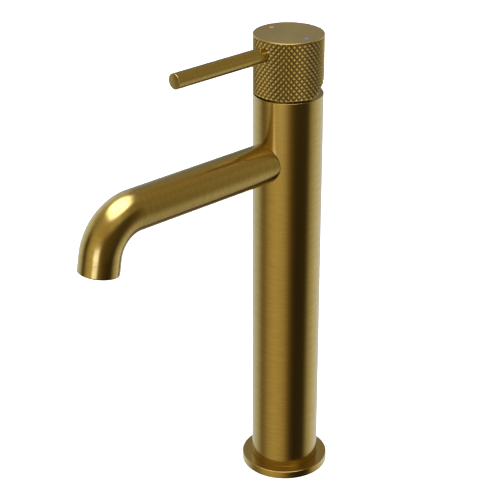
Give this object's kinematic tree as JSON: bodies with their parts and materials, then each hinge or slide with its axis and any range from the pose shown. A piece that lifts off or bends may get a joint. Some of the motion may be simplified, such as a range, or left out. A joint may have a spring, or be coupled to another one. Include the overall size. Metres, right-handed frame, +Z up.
{
  "type": "bathroom mixer faucet",
  "caption": "Tall single-lever basin mixer in brushed brass: round column on a thin flange, straight spout with a turned-down end, knurled cap with a rod lever.",
  "frame": {"origin": "centre of the base flange's underside, on the deck", "axes": "+Z up along the column; the spout and the closed lever point along -Y; hot is on the -X side and cold on the +X side"},
  "size_m": [0.058, 0.1953, 0.308],
  "materials": {
    "brushed_brass": "brushed, warm gold, satin",
    "raw_brass": "machined, uncoated",
    "rubber": "moulded",
    "white_plastic": "moulded",
    "grey_plastic": "moulded",
    "ceramic": "polished",
    "steel": "plain",
    "red_enamel": "enamel fill",
    "blue_enamel": "enamel fill"
  },
  "bodies": {
    "tap_body": {"column": "brushed_brass", "base_flange": "brushed_brass", "base_gasket": "rubber", "base_bush": "raw_brass", "valve_body": "raw_brass", "spout_tube": "brushed_brass", "spout_nipple": "raw_brass", "spout_o_rings": "rubber", "aerator_shell": "raw_brass", "aerator_insert": "grey_plastic", "aerator_screen": "grey_plastic", "aerator_gasket": "rubber", "cartridge_base": "white_plastic", "port_seals": "rubber", "disc_seals": "rubber", "fixed_disc": "ceramic", "cartridge_housing": "white_plastic", "cartridge_nut": "raw_brass", "trim_ring": "brushed_brass"},
    "turning_guide": {"rotor": "grey_plastic", "spindle_pin": "steel"},
    "mixing_disc": {"moving_disc": "ceramic", "disc_carrier": "grey_plastic"},
    "handle": {"spindle": "raw_brass", "handle_hub": "raw_brass", "handle_cap": "brushed_brass", "lever_rod": "brushed_brass", "grub_screw": "steel", "hot_index": "red_enamel", "cold_index": "blue_enamel"}
  },
  "joints": [
    {"name": "temperature_turn", "type": "hinge", "parent": "tap_body", "child": "turning_guide", "pos_m": [0, 0, 0.26], "axis": [0, 0, 1], "range_deg": [-50, 50]},
    {"name": "flow_tilt", "type": "hinge", "parent": "turning_guide", "child": "handle", "pos_m": [0, 0, 0.267], "axis": [-1, 0, 0], "range_deg": [0, 22]},
    {"name": "disc_slide", "type": "slide", "parent": "turning_guide", "child": "mixing_disc", "axis": [0, -1, 0], "range_m": [0, 0.0038]}
  ],
  "couplings": [
    {"joint": "disc_slide", "follows": "flow_tilt", "m_per_rad": 0.009}
  ]
}
